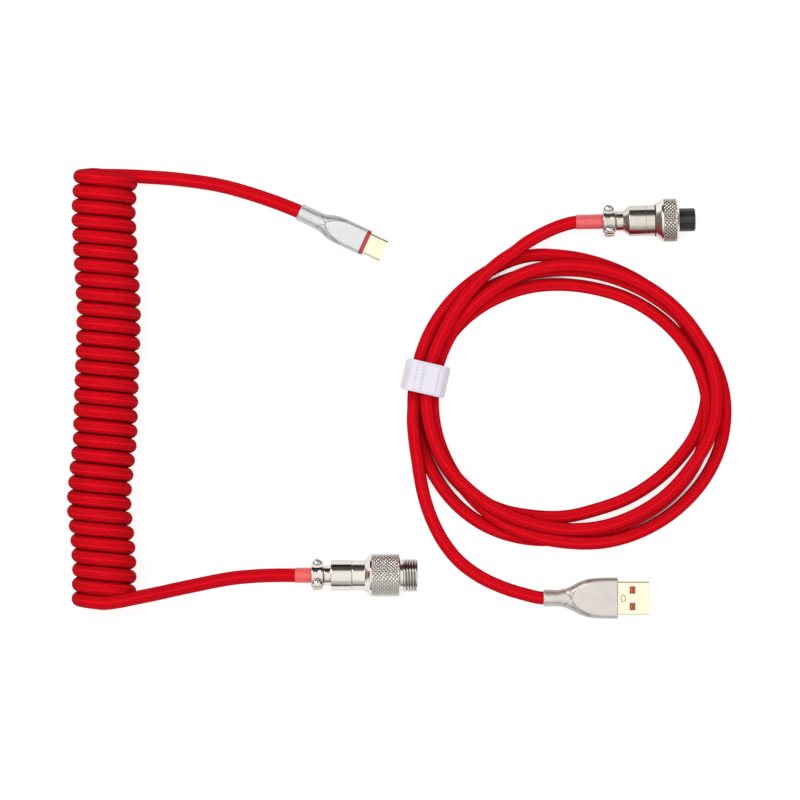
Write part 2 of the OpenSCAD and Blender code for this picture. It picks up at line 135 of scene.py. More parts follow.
def material(name, colour, rough, metallic=0.0, vary=0.08, grain=900, bump=0.05, speck=2500,
             rough_vary=0.06, stretch=(1, 1, 1), coat=0.0, specular=0.5, transmission=0.0, side_shade=1.0):
    """A moulded, drawn or woven surface: colour that drifts, a fine grain in bump and roughness.
    Faces that stand upright keep only a side_shade share of their colour: painted shade where less light falls on
    them."""
    m = bpy.data.materials.new(name)
    m.use_nodes = True
    nodes, links = m.node_tree.nodes, m.node_tree.links
    shader = nodes["Principled BSDF"]
    coord = nodes.new("ShaderNodeTexCoord")
    mapping = nodes.new("ShaderNodeMapping")
    mapping.inputs["Scale"].default_value = stretch
    links.new(coord.outputs["Object"], mapping.inputs[0])
    broad, fine = nodes.new("ShaderNodeTexNoise"), nodes.new("ShaderNodeTexNoise")
    broad.inputs["Scale"].default_value, broad.inputs["Detail"].default_value = grain, 4
    fine.inputs["Scale"].default_value, fine.inputs["Detail"].default_value = speck, 3
    for n in (broad, fine):
        links.new(mapping.outputs[0], n.inputs["Vector"])
    ramp = nodes.new("ShaderNodeValToRGB")
    ramp.color_ramp.elements[0].position, ramp.color_ramp.elements[1].position = 0.3, 0.7
    ramp.color_ramp.elements[0].color = (*[c * (1 - vary) for c in colour], 1)
    ramp.color_ramp.elements[1].color = (*[min(1, c * (1 + vary)) for c in colour], 1)
    links.new(broad.outputs["Fac"], ramp.inputs[0])
    links.new(ramp.outputs[0], shader.inputs["Base Color"])
    # Painted shade: upright faces are darkened because less light falls on them.
    if side_shade < 1:
        shape = nodes.new("ShaderNodeNewGeometry")
        split = nodes.new("ShaderNodeSeparateXYZ")
        level = nodes.new("ShaderNodeMath")
        level.operation = "ABSOLUTE"
        links.new(shape.outputs["Normal"], split.inputs[0])
        links.new(split.outputs["Z"], level.inputs[0])
        darken(m, level.outputs[0], side_shade, 0.7)
    span = nodes.new("ShaderNodeMapRange")
    span.inputs["To Min"].default_value = rough - rough_vary
    span.inputs["To Max"].default_value = rough + rough_vary
    links.new(fine.outputs["Fac"], span.inputs["Value"])
    links.new(span.outputs[0], shader.inputs["Roughness"])
    bumps = nodes.new("ShaderNodeBump")
    bumps.inputs["Strength"].default_value, bumps.inputs["Distance"].default_value = 0.5, bump * MM
    links.new(fine.outputs["Fac"], bumps.inputs["Height"])
    links.new(bumps.outputs[0], shader.inputs["Normal"])
    shader.inputs["Metallic"].default_value = metallic
    shader.inputs["Coat Weight"].default_value = coat
    shader.inputs["Specular IOR Level"].default_value = specular
    shader.inputs["Transmission Weight"].default_value = transmission
    return m


BRAID_LOOK = dict(vary=0.12, grain=700, bump=0.02, speck=5000, specular=0.0, side_shade=0.5)
GRIP_LOOK = dict(vary=0.04, grain=300, speck=9000, bump=0.006)
NICKEL_LOOK = dict(grain=300, speck=6000, bump=0.002)
LOOPED = material("looped_braid_yarn", (1.0, 0.008, 0.02), 0.5, 0.0, **BRAID_LOOK)
COILED = material("coiled_braid_yarn", (1.0, 0.008, 0.02), 0.38, 0.1, **BRAID_LOOK)
# The under-yarn's dark red is painted shade for the gaps between the yarns.
CORE = material("under_yarn", (0.3, 0.0, 0.006), 0.8, vary=0.2, bump=0.03, specular=0.0, side_shade=0.6)
GRIP = material("satin_silver", (0.7, 0.71, 0.735), 0.4, 0.8, side_shade=0.3, **GRIP_LOOK)
WARM_GRIP = material("warm_satin_silver", (0.66, 0.63, 0.6), 0.4, 0.8, side_shade=0.32, **GRIP_LOOK)
SHELL = material("pale_gold_shell", (1.0, 0.9, 0.7), 0.22, 1.0, vary=0.04, grain=350, speck=7000, bump=0.004,
                 side_shade=0.3)
CHROME = material("polished_nickel", (0.76, 0.73, 0.69), 0.1, 1.0, vary=0.03, rough_vary=0.02, side_shade=0.6,
                  **NICKEL_LOOK)
SATIN = material("satin_nickel", (0.7, 0.655, 0.6), 0.2, 1.0, vary=0.05, rough_vary=0.03, side_shade=0.5,
                 **NICKEL_LOOK)
STEEL = material("screw_steel", (0.85, 0.84, 0.82), 0.25, 1.0, vary=0.05, bump=0.004, side_shade=0.5)
GOLD = material("contact_gold", (0.85, 0.6, 0.25), 0.25, 1.0, vary=0.06, bump=0.004)
BROWN_GOLD = material("shadowed_gold", (0.5, 0.22, 0.09), 0.3, 1.0, vary=0.1, bump=0.004)
COLLAR = material("red_collar", (0.42, 0.014, 0.02), 0.2, vary=0.1, bump=0.006, coat=0.6)
MOULD = material("inner_mould", (0.05, 0.05, 0.05), 0.5, vary=0.15)
BOARD = material("green_board", (0.02, 0.16, 0.06), 0.35, vary=0.2)
WIRE = material("wire_jacket", (0.35, 0.05, 0.04), 0.4, vary=0.3)
TONGUE = material("red_tongue", (0.42, 0.03, 0.02), 0.4, vary=0.12, bump=0.01)
BLACK = material("black_insert", (0.018, 0.018, 0.02), 0.42, vary=0.2, bump=0.015)
INSULATOR = material("dark_insulator", (0.06, 0.03, 0.025), 0.5, vary=0.2, bump=0.015)
TIE = material("tie_film", (0.74, 0.72, 0.83), 0.3, vary=0.03, grain=160, speck=700, bump=0.004, coat=0.2,
               transmission=0.12)


def shade_by_lift(m, low):
    """Darkens a surface where its "lift" attribute is small, as in the valleys between yarns or knurls."""
    lift = m.node_tree.nodes.new("ShaderNodeAttribute")
    lift.attribute_name = "lift"
    darken(m, lift.outputs["Fac"], low)


shade_by_lift(GRIP, 0.3)
shade_by_lift(WARM_GRIP, 0.3)
shade_by_lift(LOOPED, 0.14)
shade_by_lift(COILED, 0.13)
KNURL_LOOK = dict(bump=0.002, rough_vary=0.03, side_shade=0.6)
# The knurled nickel is the plain nickel again, with a brighter base that, with the lift's painted shade in the
# grooves, paints its crests lit.
KNURLED_CHROME = material("knurled_nickel", (0.8, 0.77, 0.73), 0.16, 1.0, vary=0.04, **KNURL_LOOK)
KNURLED_SATIN = material("knurled_satin_nickel", (0.86, 0.815, 0.75), 0.2, 1.0, vary=0.05, **KNURL_LOOK)
shade_by_lift(KNURLED_CHROME, 0.22)
shade_by_lift(KNURLED_SATIN, 0.16)


def zigzag_material(name, base, pale, amount):
    """Heat shrink drawn tight over a braid, the yarns' V pattern painted on it in paler stripes: painted
    highlights along the braid's ridges.
    """
    m = material(name, base, 0.4, vary=0.1, bump=0.02, coat=0.25)
    nodes, links = m.node_tree.nodes, m.node_tree.links
    shader = nodes["Principled BSDF"]
    body = shader.inputs["Base Color"].links[0].from_socket
    uv, split = nodes.new("ShaderNodeUVMap"), nodes.new("ShaderNodeSeparateXYZ")
    uv.uv_map = "turned"
    links.new(uv.outputs[0], split.inputs[0])

    def math_node(kind, a, b):
        n = nodes.new("ShaderNodeMath")
        n.operation = kind
        for socket, v in zip(n.inputs, (a, b)):
            if isinstance(v, (int, float)):
                socket.default_value = v
            else:
                links.new(v, socket)
        return n.outputs[0]

    zigzags_round, rows_per_mm = 10.0, 0.95
    side = math_node("PINGPONG", math_node("MULTIPLY", split.outputs[0], zigzags_round), 0.5)
    along = math_node("MULTIPLY", split.outputs[1], rows_per_mm)
    phase = math_node("FRACT", math_node("ADD", along, side), 0.0)
    # The stripe is a painted highlight along the braid's ridges under the shrink.
    highlight_stripe = math_node("MULTIPLY", math_node("SMOOTH_MIN", math_node("MULTIPLY", phase, 2.0), 1.0), amount)
    mix = nodes.new("ShaderNodeMix")
    mix.data_type = "RGBA"
    links.new(highlight_stripe, mix.inputs["Factor"])
    links.new(body, mix.inputs["A"])
    mix.inputs["B"].default_value = (*pale, 1)
    links.new(mix.outputs["Result"], shader.inputs["Base Color"])
    return m


CORAL = zigzag_material("coral_heat_shrink", (0.74, 0.04, 0.045), (0.95, 0.4, 0.37), 0.22)
PINK = zigzag_material("pink_heat_shrink", (0.66, 0.025, 0.04), (0.95, 0.6, 0.58), 0.17)


def floor_look():
    """A pale floor that glows white, its glow dimmed where the part lies close over it as a painted contact
    shadow.
    """
    m = material("pale_floor", (0.34, 0.34, 0.34), 0.85, vary=0.004, grain=30, bump=0.0, specular=0.1)
    nodes, links = m.node_tree.nodes, m.node_tree.links
    shader = nodes["Principled BSDF"]
    shader.inputs["Emission Color"].default_value = (1, 1, 1, 1)
    # The AO-dimmed glow paints a contact shadow where the part lies close over the floor.
    gap, span = nodes.new("ShaderNodeAmbientOcclusion"), nodes.new("ShaderNodeMapRange")
    gap.inputs["Distance"].default_value = 0.003
    span.inputs["From Min"].default_value, span.inputs["From Max"].default_value = 0.1, 0.34
    span.inputs["To Max"].default_value = 0.74
    links.new(gap.outputs["AO"], span.inputs["Value"])
    links.new(span.outputs[0], shader.inputs["Emission Strength"])
    return m


FLOOR = floor_look()


# ---------------------------------------------------------------- meshes

def mesh_object(name, verts, quads, mat, tris=(), smooth=True, uv=None, uv_name="OFBake", outward=True):
    """A mesh from vertices in millimetres, in the part's frame."""
    me = bpy.data.meshes.new(name)
    verts = np.asarray(verts, float).reshape(-1, 3) * MM
    quads = np.asarray(quads, np.int32).reshape(-1, 4)
    tris = np.asarray(tris, np.int32).reshape(-1, 3)
    loops = np.concatenate([quads.ravel(), tris.ravel()])
    starts = np.concatenate([np.arange(len(quads)) * 4, 4 * len(quads) + np.arange(len(tris)) * 3])
    me.vertices.add(len(verts))
    me.vertices.foreach_set("co", verts.astype(np.float32).ravel())
    me.loops.add(len(loops))
    me.loops.foreach_set("vertex_index", loops.astype(np.int32))
    me.polygons.add(len(starts))
    me.polygons.foreach_set("loop_start", starts.astype(np.int32))
    me.polygons.foreach_set("use_smooth", np.full(len(starts), smooth))
    me.update(calc_edges=True)
    me.validate()
    if uv is not None:
        layer = me.uv_layers.new(name=uv_name)
        layer.data.foreach_set("uv", np.asarray(uv, np.float32)[loops].ravel())
    if outward:
        bm = bmesh.new()
        bm.from_mesh(me)
        bmesh.ops.recalc_face_normals(bm, faces=bm.faces)
        bm.to_mesh(me)
        bm.free()
    me.materials.append(mat)
    return link(bpy.data.objects.new(name, me))


def grid(rows, cols, closed=True, start=0):
    i = start + np.arange(rows - 1)[:, None] * cols
    j = np.arange(cols if closed else cols - 1)[None, :]
    k = (j + 1) % cols
    return np.stack([i + j, i + k, i + cols + k, i + cols + j], -1).reshape(-1, 4)


def write_lift(obj, values):
    """Stores a level from 0 to 1 for each vertex, mostly how far it stands out, that shade_by_lift turns into
    painted shade.
    """
    lift = obj.data.attributes.new("lift", "FLOAT", "POINT")
    lift.data.foreach_set("value", values.astype(np.float32).ravel())


def end_caps(n, last, a, b):
    """Fans that close the first ring of n on vertex a, and the ring that starts at last on vertex b."""
    j = np.arange(n)
    k = (j + 1) % n
    front = np.stack([k, j, np.full(n, a)], -1)
    back = np.stack([last + j, last + k, np.full(n, b)], -1)
    return np.concatenate([front, back])


def placed(verts, at, turn=0.0, tilt=0.0):
    """Local connector coordinates, x along its axis, to the part's frame, in millimetres."""
    v = np.asarray(verts, float).reshape(-1, 3)
    a, b = math.radians(tilt), math.radians(turn)
    roll = np.array([[1, 0, 0], [0, math.cos(a), -math.sin(a)], [0, math.sin(a), math.cos(a)]])
    yaw = np.array([[math.cos(b), -math.sin(b), 0], [math.sin(b), math.cos(b), 0], [0, 0, 1]])
    return v @ (yaw @ roll).T + np.array(at)


def fine_profile(points, step):
    """The profile's corners kept, with points between them no further apart than step."""
    out = [points[0]]
    for a, b in zip(points, points[1:]):
        n = max(1, int(math.ceil(math.dist(a, b) / step)))
        out += [(a[0] + (b[0] - a[0]) * t / n, a[1] + (b[1] - a[1]) * t / n) for t in range(1, n + 1)]
    return out


def turned(name, profile, at, turn, mat, seg=128, step=0.5, shape=None, tilt=0.0, soften=0.0):
    """A closed ring turned about the connector's axis. shape(x, angle, r) gives extra radius."""
    if soften:
        profile = chamfered(profile, soften)
    p = np.array(fine_profile(list(profile) + [profile[0]], step))[:-1]
    phi = np.arange(seg) * TAU / seg
    x, r = np.repeat(p[:, :1], seg, 1), np.repeat(p[:, 1:], seg, 1)
    angle = np.repeat(phi[None, :], len(p), 0)
    lift = np.ones_like(r)
    if shape:
        extra = shape(x, angle, r)
        r = r + extra
        worked = np.abs(extra) > 1e-6
        if worked.any():
            height = (extra - extra.min()) / (extra.max() - extra.min())
            # The worked surface's height becomes its lift, which shade_by_lift turns into painted shade in the
            # grooves.
            lift = np.where(worked, height ** 0.6, 1.0)
    verts = np.stack([x, -r * np.sin(angle), r * np.cos(angle)], -1).reshape(-1, 3)
    quads = grid(len(p), seg)
    last = (len(p) - 1) * seg
    j = np.arange(seg)
    k = (j + 1) % seg
    quads = np.concatenate([quads, np.stack([last + j, last + k, k, j], -1)])
    uv = np.stack([angle / TAU, x], -1).reshape(-1, 2)
    obj = mesh_object(name, placed(verts, at, turn, tilt), quads, mat, uv=uv, uv_name="turned")
    write_lift(obj, lift)
    return obj


def chamfered(points, size):
    """Each corner of a closed profile cut by a short five-point round."""
    out, n = [], len(points)
    for i, p in enumerate(points):
        a, b = np.array(points[i - 1], float), np.array(points[(i + 1) % n], float)
        p = np.array(p, float)
        la, lb = np.linalg.norm(a - p), np.linalg.norm(b - p)
        s = min(size, la * 0.4, lb * 0.4)
        pa, pb = p + (a - p) / la * s, p + (b - p) / lb * s
        mid = 0.25 * pa + 0.5 * p + 0.25 * pb
        round_in, round_out = (pa + mid) / 2 * 0.5 + mid * 0.5, (pb + mid) / 2 * 0.5 + mid * 0.5
        out += [tuple(q) for q in (pa, round_in, mid, round_out, pb)]
    return out


def rounded_ring(w, h, r, straight=14, corner=10):
    """Points round a rounded rectangle, the same count and order for every size."""
    r = min(r, w / 2 - 0.01, h / 2 - 0.01)
    out = []
    corners = ((1, 1, 0), (-1, 1, 90), (-1, -1, 180), (1, -1, 270))
    for i, (sy, sz, start) in enumerate(corners):
        for k in range(corner):
            t = math.radians(start + 90 * k / corner)
            out.append((sy * (w / 2 - r) + r * math.cos(t), sz * (h / 2 - r) + r * math.sin(t)))
        ny, nz, _ = corners[(i + 1) % 4]
        t = math.radians(start + 90)
        a = (sy * (w / 2 - r) + r * math.cos(t), sz * (h / 2 - r) + r * math.sin(t))
        b = (ny * (w / 2 - r) + r * math.cos(t), nz * (h / 2 - r) + r * math.sin(t))
        out += [(a[0] + (b[0] - a[0]) * k / straight, a[1] + (b[1] - a[1]) * k / straight)
                for k in range(straight)]
    return np.array(out)


def lofted(name, sections, at, turn, mat, steps=120, dent=None, round_end=0.35, straight=14, smoothing=4,
           offset=(0, 0), tilt=0.0):
    """A moulded body through rounded-rectangle sections (x, w, h, r).
    dent(x, y, z) gives how far its skin moves in z, and its lift."""
    s = np.array(sections, float)
    xs = np.linspace(s[0, 0], s[-1, 0], steps)
    cols = [np.interp(xs, s[:, 0], s[:, c]) for c in (1, 2, 3)]
    for _ in range(smoothing):
        cols = [np.concatenate([c[:1], (c[:-2] + 2 * c[1:-1] + c[2:]) / 4, c[-1:]]) for c in cols]
    offset = np.array(offset, float)
    rows = []
    near = np.minimum(xs - xs[0], xs[-1] - xs)
    for x, w, h, r, e in zip(xs, *cols, near):
        into = max(0.0, round_end - e)
        cut = round_end - math.sqrt(max(0.0, round_end ** 2 - into ** 2))
        ring = rounded_ring(w - 2 * cut, h - 2 * cut, max(0.3, r - cut), straight)
        rows.append(np.column_stack([np.full(len(ring), x), ring]))
    v = np.array(rows)
    lift = np.ones(v.shape[:2])
    if dent:
        fall, lift = dent(v[..., 0], v[..., 1], v[..., 2])
        v[..., 2] += fall
    n = v.shape[1]
    quads = grid(len(v), n)
    verts = np.concatenate([v.reshape(-1, 3), [[xs[0], 0, 0], [xs[-1], 0, 0]]]) + [0, *offset]
    tris = end_caps(n, (len(v) - 1) * n, len(v) * n, len(v) * n + 1)
    obj = mesh_object(name, placed(verts, at, turn, tilt), quads, mat, tris)
    write_lift(obj, np.concatenate([lift.ravel(), [1, 1]]))
    return obj


# ---------------------------------------------------------------- the cords' paths

COIL_WIND, COIL_PITCH, COIL_TURNS, COIL_TOP, COIL_HEIGHT = 9.2, 5.275, 29, 78.5, 11.75
# Where the coil's axis runs: places along Y, each with its X.
COIL_AXIS = [(-74.2, -107.3), (-63.3, -107.1), (-52.7, -107.8), (-42.5, -109.0), (-37.0, -109.0),
             (-26.5, -108.0), (-17.1, -106.9), (-0.7, -106.5), (17.5, -105.8), (30.9, -105.5),
             (46.5, -106.5), (64.7, -107.5), (78.5, -106.7)]
USB_C_ROUTE = [(-34, 64.7, 3.1), (-36.7, 66, 3.1), (-41, 67.8, 3.1), (-48, 70.4, 2.9), (-55, 72.7, 2.7),
               (-62, 74.7, 2.6), (-69, 76.2, 2.6), (-76, 77.2, 2.6), (-83, 78, 2.6), (-90, 78.5, 2.6),
               (-97, 78.9, 2.6), (-103, 79.1, 2.56), (-109.1, 79.2, 2.9)]
SOCKET_ROUTE = [(-101.5, -75.2, 20.3), (-95.3, -74, 18.6), (-88, -72.6, 15.7), (-80.5, -71, 12.5),
                (-73, -69.5, 10), (-66.5, -68.2, 8.4), (-59.5, -67.1, 7.5), (-52.5, -66.5, 7.3),
                (-45, -66.2, 7.4), (-38, -66.2, 7.6), (-32.7, -66.2, 7.6), (-24.7, -66.2, 7.6)]
USB_A_ROUTE = [(55, -74.6, 4), (52.1, -74.6, 4), (44.5, -73, 3.6), (37, -70.6, 3), (28.5, -66.5, 2.6),
               (21.4, -61.1, 2.5), (16.1, -54.6, 2.5), (12.1, -47.2, 2.5), (9, -38.5, 2.7), (7.3, -30.5, 3.9), (6.4, -24.5, 5.6),
               (5.4, -17.5, 6.9), (4.8, -10, 7.4)]
PLUG_ROUTE = [(37.4, 48.4, 7.2), (41.5, 51.1, 6.6), (45.5, 54.2, 6.0), (50.5, 57.2, 5.6), (55.5, 59.6, 5.9),
              (60, 61.2, 6.8), (63.94, 62.05, 7.7), (69, 62.15, 7.7), (73.24, 62.24, 7.7), (81.24, 62.4, 7.7)]
# Four loops and a lead-out: a radius and a height every 15 degrees clockwise from the ring's left side.
# A scratch script worked these pairs out from readings of the strands, and some were then changed by hand.
RING_AT, RING_SQUASH = (60.4, -2.5), 0.94
LOOPS = [
    [(55.2, 7.2), (55.4, 7.6), (56.0, 6.4), (56.7, 3.9), (57.2, 2.5), (57.5, 2.4), (55.5, 2.4), (53.9, 2.4),
     (53.0, 2.4), (52.6, 2.4), (52.4, 2.4), (52.0, 2.4), (51.2, 2.4), (49.2, 2.4), (46.8, 2.4), (45.1, 2.4),
     (44.2, 2.4), (43.9, 2.4), (45.2, 2.4), (46.6, 2.4), (48.8, 2.4), (50.4, 2.4), (50.8, 2.4), (50.8, 2.4)],
    [(50.7, 2.4), (50.2, 2.4), (49.1, 2.4), (47.9, 2.4), (46.6, 2.4), (45.5, 2.4), (44.6, 2.4), (44.4, 2.4),
     (45.2, 2.4), (46.4, 2.7), (47.9, 4.3), (49.6, 6.4), (51.2, 7.1), (52.7, 5.2), (53.2, 2.7), (53.1, 2.4),
     (52.7, 2.4), (52.7, 2.4), (53.7, 2.4), (55.6, 2.4), (56.8, 2.4), (56.8, 2.4), (56.0, 2.4), (55.5, 2.4)],
    [(55.4, 2.4), (54.8, 2.4), (53.8, 2.4), (52.7, 2.4), (51.5, 2.4), (50.7, 2.4), (50.3, 3.2), (50.2, 5.9),
     (50.5, 6.9), (51.5, 7.2), (53.3, 7.0), (55.5, 5.8), (57.7, 3.2), (58.8, 2.4), (59.0, 2.4), (58.6, 2.4),
     (57.9, 2.6), (56.8, 4.6), (55.0, 7.0), (53.8, 7.2), (52.4, 7.2), (50.7, 7.1), (49.5, 6.9), (48.9, 6.8)],
    [(48.6, 6.8), (48.6, 6.8), (48.9, 6.9), (49.4, 7.0), (50.2, 7.1), (51.4, 7.4), (52.0, 8.8), (52.1, 11.1),
     (52.4, 12.0), (52.8, 12.0), (53.4, 11.9), (54.2, 11.2), (54.4, 10.9), (53.8, 10.2), (52.3, 7.5), (51.7, 6.9),
     (51.1, 6.9), (50.7, 6.8), (50.0, 6.9), (49.2, 9.3), (49.2, 11.4), (49.6, 12.0), (50.2, 11.7), (50.5, 11.3)],
    [(50.8, 11.3), (51.0, 11.2), (51.6, 10.7), (53.7, 8.6), (57.0, 7.2)],
]


def smooth_path(points, step=0.25):
    """A cubic curve through the points, cut into even steps along its length."""
    p = np.array(points, float)
    t = np.concatenate([[0], np.cumsum(np.linalg.norm(np.diff(p, axis=0), axis=1))])
    h = np.diff(t)[:, None]
    slope = np.diff(p, axis=0) / h
    m = np.concatenate([slope[:1], (h[1:] * slope[:-1] + h[:-1] * slope[1:]) / (h[1:] + h[:-1]), slope[-1:]])
    fine = np.linspace(0, t[-1], int(t[-1] / 0.1))
    i = np.clip(np.searchsorted(t, fine) - 1, 0, len(h) - 1)
    u = ((fine - t[i]) / h[i, 0])[:, None]
    q = ((2 * u ** 3 - 3 * u ** 2 + 1) * p[i] + (u ** 3 - 2 * u ** 2 + u) * h[i] * m[i]
         + (3 * u ** 2 - 2 * u ** 3) * p[i + 1] + (u ** 3 - u ** 2) * h[i] * m[i + 1])
    s = np.concatenate([[0], np.cumsum(np.linalg.norm(np.diff(q, axis=0), axis=1))])
    even = np.linspace(0, s[-1], int(s[-1] / step) + 1)
    return even, np.stack([np.interp(even, s, q[:, c]) for c in range(3)], -1)


class Path:
    """A cord's centreline with a frame that doesn't twist."""

    def __init__(self, points):
        self.s, self.p = smooth_path(points)
        self.length = self.s[-1]
        tangent = np.gradient(self.p, axis=0)
        tangent /= np.linalg.norm(tangent, axis=1)[:, None]
        normals = [np.cross(tangent[0], [0.0, 0.0, 1.0])]
        for t in tangent[1:]:
            n = normals[-1] - t * (normals[-1] @ t)
            normals.append(n / np.linalg.norm(n))
        self.n = np.array(normals)
        self.b = np.cross(tangent, self.n)

    def at(self, s, phi, r):
        """Places at radius r and angle phi round the centreline, s along it."""
        mixed = lambda a: np.stack([np.interp(s, self.s, a[:, c]) for c in range(3)], -1)
        around = np.cos(phi)[..., None] * mixed(self.n) + np.sin(phi)[..., None] * mixed(self.b)
        return mixed(self.p) + r[..., None] * around


def coil_point(theta):
    """The winding's centreline: left-handed, from under its first turn to the top of its last."""
    y = COIL_TOP - COIL_PITCH * theta / 360
    x = np.interp(y, *zip(*COIL_AXIS))
    a = math.radians(theta)
    return x - COIL_WIND * math.cos(a), y, COIL_HEIGHT + COIL_WIND * math.sin(a)


def ring_point(degrees, r, z):
    a = math.radians(degrees)
    return RING_AT[0] - r * math.cos(a), RING_AT[1] + RING_SQUASH * r * math.sin(a), z


COIL_START, COIL_END = -60, COIL_TURNS * 360 + 90
coil_points = [coil_point(t) for t in range(COIL_START, COIL_END + 1, 15)]
ring_points = [ring_point(15 * i, r, z) for loop in LOOPS for i, (r, z) in enumerate(loop)]
coiled = Path(USB_C_ROUTE + coil_points + SOCKET_ROUTE)
looped = Path(USB_A_ROUTE + ring_points + PLUG_ROUTE)


# ---------------------------------------------------------------- the cords' yarns

COILED_D, LOOPED_D = 5.1, 4.8
CORE_SIDES = 24
YARNS, YARN_ANGLE = 14, math.radians(50)
YARN_DEPTH, YARN_FILL = 0.3, 0.49       # how thick the braid is, and half a yarn's share of its pitch
YARN_DIP, YARN_CROWN = 0.17, 0.1        # how much lower a yarn runs where it goes under, and at its edges


def yarns(name, path, diameter, first, last, row, mat):
    """Flat yarns each way round the cord, over two and under two, for rows first to last."""
    girth = math.pi * (diameter - YARN_DEPTH)
    half = girth / YARNS * math.cos(YARN_ANGLE) * YARN_FILL
    m, k = np.meshgrid(np.arange(first, last + 1), np.arange(YARNS))
    verts, uvs, along, lifts = [], [], [], []
    for side, sign in enumerate((1, -1)):
        over = np.isin((2 * k + sign * m) % 4, (0, 1) if sign > 0 else (2, 3))
        r = diameter / 2 - np.where(over, 0.0, YARN_DIP)
        for across in (-1, 0, 1):
            s = m * row - sign * across * half * math.sin(YARN_ANGLE)
            phi = math.pi / YARNS * (2 * k + sign * m) + across * half * math.cos(YARN_ANGLE) / (diameter / 2)
            verts.append(path.at(s, phi, r - YARN_CROWN * abs(across)))
            along.append(s)
            # The lift paints shade where a yarn dips under and at its edges, and paints the yarns of one hand
            # darker than the other as a painted sheen difference.
            lifts.append((np.where(over, 1.0, 0.3) - 0.5 * abs(across)) * (1.0 if sign > 0 else 0.76))
            u = (side * YARNS + k + 0.5 + 0.38 * across) / (2 * YARNS)
            uvs.append(np.stack([u, (m - first) / (last - first)], -1))
    count = m.size
    n = m.shape[1]
    quads = []
    for side in (0, 1):
        for a in (0, 1):
            c0, c1 = (side * 3 + a) * count, (side * 3 + a + 1) * count
            i = (np.arange(YARNS)[:, None] * n + np.arange(n - 1)[None, :]).ravel()
            quads.append(np.stack([c0 + i, c1 + i, c1 + i + 1, c0 + i + 1], -1))
    obj = mesh_object(name, np.concatenate([v.reshape(-1, 3) for v in verts]), np.concatenate(quads), mat,
                      uv=np.concatenate([u.reshape(-1, 2) for u in uvs]), outward=False)
    write_lift(obj, np.concatenate([a.ravel() for a in lifts]))
    return obj, np.concatenate([a.ravel() for a in along])


def cord_core(name, path, diameter):
    """The cord under its yarns, one ring about every millimetre."""
    rings = int(path.length) + 1
    s = np.linspace(0, path.length, rings)
    phi = np.arange(CORE_SIDES) * TAU / CORE_SIDES
    ss, pp = np.meshgrid(s, phi, indexing="ij")
    core = diameter / 2 - 0.24
    v = path.at(ss, pp, np.full(ss.shape, core))
    centres = path.at(s, np.zeros(rings), np.zeros(rings))
    verts = np.concatenate([v.reshape(-1, 3), centres[:1], centres[-1:]])
    tris = end_caps(CORE_SIDES, (rings - 1) * CORE_SIDES, rings * CORE_SIDES, rings * CORE_SIDES + 1)
    uv = np.concatenate([np.stack([pp / TAU, ss / path.length], -1).reshape(-1, 2), [[0.5, 0], [0.5, 1]]])
    obj = mesh_object(name, verts, grid(rings, CORE_SIDES), CORE, tris, uv=uv, outward=False)
    return (obj, np.concatenate([ss.ravel(), [0, path.length]])), centres


def make_cord(name, path, diameter, pieces, mat):
    """A cord's core and its yarns, the yarns cut into pieces along its length."""
    core, centres = cord_core(name + "_core", path, diameter)
    row = math.pi * diameter / (2 * YARNS * math.tan(YARN_ANGLE))
    total = int(path.length / row)
    cuts = [round(total * i / pieces) for i in range(pieces + 1)]
    made = [yarns(f"{name}_yarns_{i + 1}", path, diameter, a, b, row, mat)
            for i, (a, b) in enumerate(zip(cuts, cuts[1:]))]
    return core, centres, made


def stretches(obj):
    """Bakes the object's transform into its mesh; no point is moved."""
    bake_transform(obj)


(core, core_along), coil_centres, coil_yarns = make_cord("coiled_cord", coiled, COILED_D, 5, COILED)
stretches(core)
for obj, along in coil_yarns:
    stretches(obj)
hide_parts("usb_c_lead", "coil", "socket_lead")
coil_yarns = [obj for obj, _ in coil_yarns]

(ring_core, _), ring_centres, ring_yarns = make_cord("looped_cord", looped, LOOPED_D, 4, LOOPED)
ring_yarns = [obj for obj, _ in ring_yarns]
for obj in [ring_core] + ring_yarns:
    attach(obj, "straight_cable")
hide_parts("usb_a_lead", "cable_ring", "plug_lead")


# ---------------------------------------------------------------- helpers for the fittings

def stands_for(obj, body, slot, *nodes):
    """Rides a piece on its body and hides the CAD nodes that it replaces. Its slot argument is not used."""
    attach(obj, body)
    if nodes:
        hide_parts(*nodes)


def finish_node(mat, *nodes):
    """Gives CAD nodes that stay a better material."""
    for n in nodes:
        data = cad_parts[n].data
        data.materials.clear()
        data.materials.append(mat)


def diamonds(start, stop, count, pitch, depth):
    """A diamond knurl between two places on the axis."""
    def shape(x, angle, r):
        tri = lambda t: 1 - np.abs(2 * (t - np.floor(t)) - 1)
        a, b = angle * count / TAU + x / pitch, angle * count / TAU - x / pitch
        fade = np.clip((x - start) / 0.25, 0, 1) * np.clip((stop - x) / 0.25, 0, 1) * (r > 6.6)
        return depth * (np.minimum(tri(a), tri(b)) * 1.6 - 0.75) * fade
    return shape


